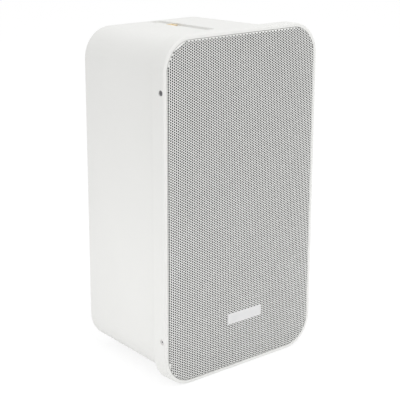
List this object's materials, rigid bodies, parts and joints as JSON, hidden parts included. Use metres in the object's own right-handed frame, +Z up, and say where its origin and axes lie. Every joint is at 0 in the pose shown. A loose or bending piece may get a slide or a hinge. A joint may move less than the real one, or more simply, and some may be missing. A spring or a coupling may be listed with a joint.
{
  "type": "column speaker",
  "caption": "Upright moulded loudspeaker with a bowed perforated front grille, a rear tub with bracket inserts, and a woofer and tweeter inside.",
  "frame": {"origin": "middle of the box's underside, level with the front frame's lower edge", "axes": "+Z up, -Y out of the grille, +X to the right as seen from the front"},
  "size_m": [0.1624, 0.1222, 0.28],
  "materials": {
    "white_plastic": "smooth matte",
    "white_grille": "white powder coat",
    "black_cloth": "fine acoustic cloth",
    "badge_metal": "satin",
    "screw_steel": "zinc plated",
    "black_foam": "closed foam",
    "insert_brass": "turned",
    "pad_fibre": "polyester fibre",
    "basket_steel": "black enamel",
    "plated_steel": "zinc plated",
    "ferrite": "ground ferrite",
    "black_paper": "pressed paper",
    "coil_aluminium": "foil former",
    "black_rubber": "matte",
    "spider_cloth": "resin-treated cotton",
    "black_plastic": "fine texture",
    "dome_cloth": "coated silk",
    "board_laminate": "phenolic laminate",
    "coil_copper": "enamelled wire",
    "capacitor_film": "sleeved",
    "resistor_ceramic": "ceramic"
  },
  "bodies": {
    "cabinet": {"front_frame": "white_plastic", "grille": "white_grille", "grille_cloth": "black_cloth", "badge_plate": "badge_metal", "side_screws": "screw_steel", "rear_cabinet": "white_plastic", "cabinet_gasket": "black_foam", "cabinet_screws": "screw_steel", "upper_insert": "insert_brass", "lower_insert": "insert_brass", "damping_pad": "pad_fibre", "woofer_gasket": "black_foam", "woofer_basket": "basket_steel", "woofer_top_plate": "plated_steel", "woofer_magnet": "ferrite", "woofer_yoke": "plated_steel", "woofer_surround": "black_rubber", "woofer_spider": "spider_cloth", "woofer_screws": "screw_steel", "tweeter_plate": "black_plastic", "tweeter_surround": "dome_cloth", "tweeter_top_plate": "plated_steel", "tweeter_magnet": "ferrite", "tweeter_yoke": "plated_steel", "tweeter_screws": "screw_steel", "crossover_board": "board_laminate", "crossover_inductor": "coil_copper", "crossover_capacitor": "capacitor_film", "crossover_resistor": "resistor_ceramic", "board_screws": "screw_steel", "terminal_cup": "black_plastic", "terminal_posts": "insert_brass", "terminal_screws": "screw_steel"},
    "woofer_moving": {"woofer_cone": "black_paper", "woofer_dust_cap": "black_paper", "woofer_coil": "coil_aluminium"},
    "tweeter_moving": {"tweeter_dome": "dome_cloth"}
  },
  "joints": [
    {"name": "woofer_excursion", "type": "slide", "parent": "cabinet", "child": "woofer_moving", "axis": [0, -1, 0], "range_m": [-0.003, 0.003], "stiffness_N_per_m": 1500, "deforming": ["woofer_surround", "woofer_spider"]},
    {"name": "tweeter_excursion", "type": "slide", "parent": "cabinet", "child": "tweeter_moving", "axis": [0, -1, 0], "range_m": [-0.0004, 0.0004], "stiffness_N_per_m": 120, "deforming": ["tweeter_surround"]}
  ]
}
